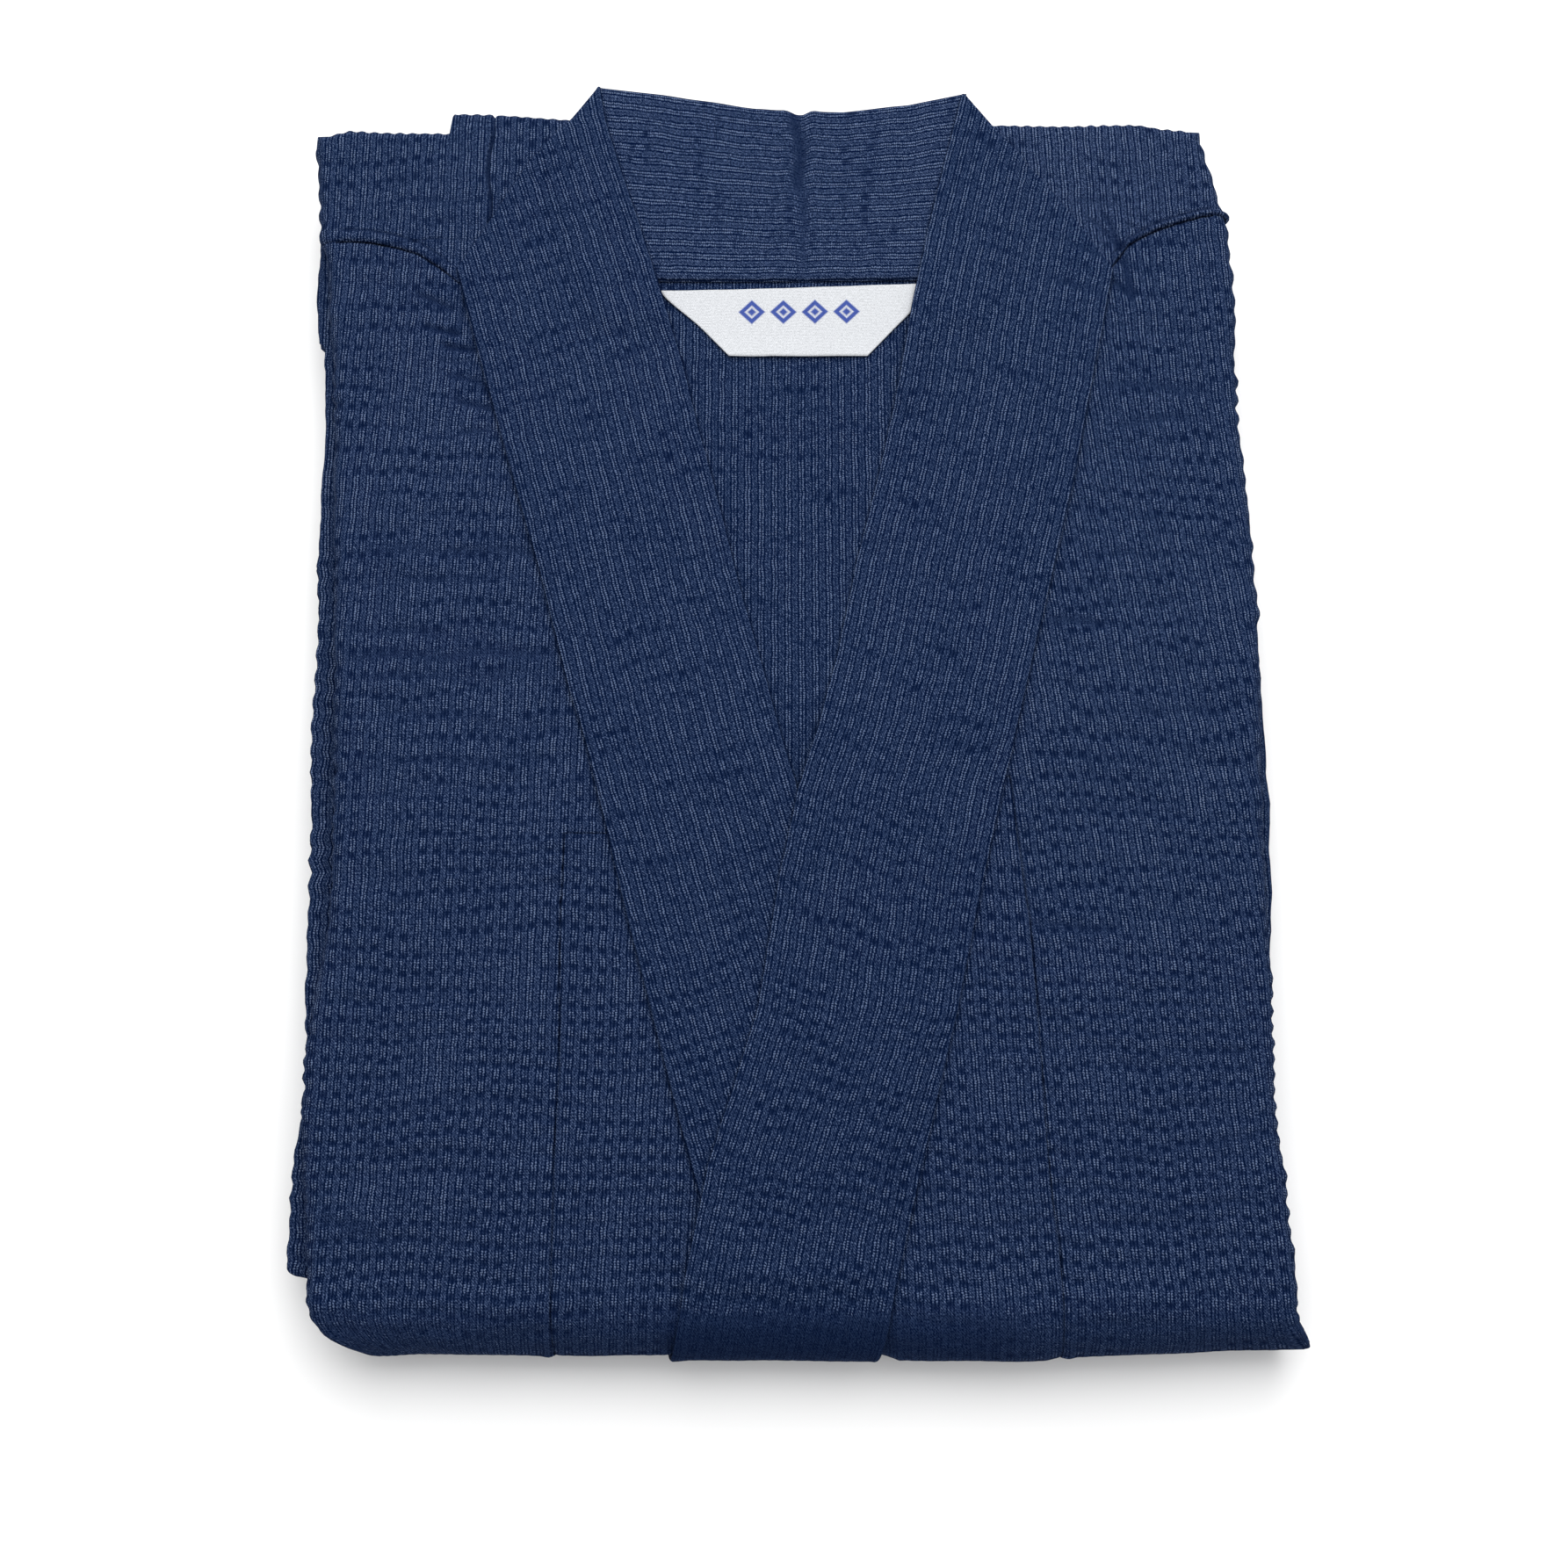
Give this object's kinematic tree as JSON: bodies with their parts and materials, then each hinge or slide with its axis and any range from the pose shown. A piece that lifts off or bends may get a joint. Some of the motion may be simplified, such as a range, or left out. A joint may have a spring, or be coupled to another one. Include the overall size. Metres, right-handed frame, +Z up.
{
  "type": "folded cotton yukata robe",
  "caption": "Cotton yukata robe folded into a flat parcel, crossed collar facing up, in a striped crinkle weave with a blank label at the neck.",
  "frame": {"origin": "centre of the bounding box's underside, on the surface that the parcel lies on", "axes": "+X across the parcel to the right seen from above, +Y towards the collar end, +Z up"},
  "size_m": [0.305, 0.4064, 0.0362],
  "materials": {
    "crinkle_cotton": "matte striped crinkle cotton, navy",
    "crinkle_cotton_inner": "matte striped cotton, navy, inner face",
    "collar_cotton": "matte striped cotton, navy, flatter weave",
    "label_weave": "white satin weave, soft sheen"
  },
  "bodies": {
    "root": {"folded_layers": "crinkle_cotton", "back_body": "crinkle_cotton_inner", "left_shoulder": "crinkle_cotton", "right_shoulder": "crinkle_cotton", "left_front": "crinkle_cotton", "right_front": "crinkle_cotton", "left_overlap": "crinkle_cotton", "right_overlap": "crinkle_cotton", "left_band": "collar_cotton", "right_band": "collar_cotton", "back_collar": "collar_cotton", "neck_label": "label_weave"}
  },
  "joints": []
}
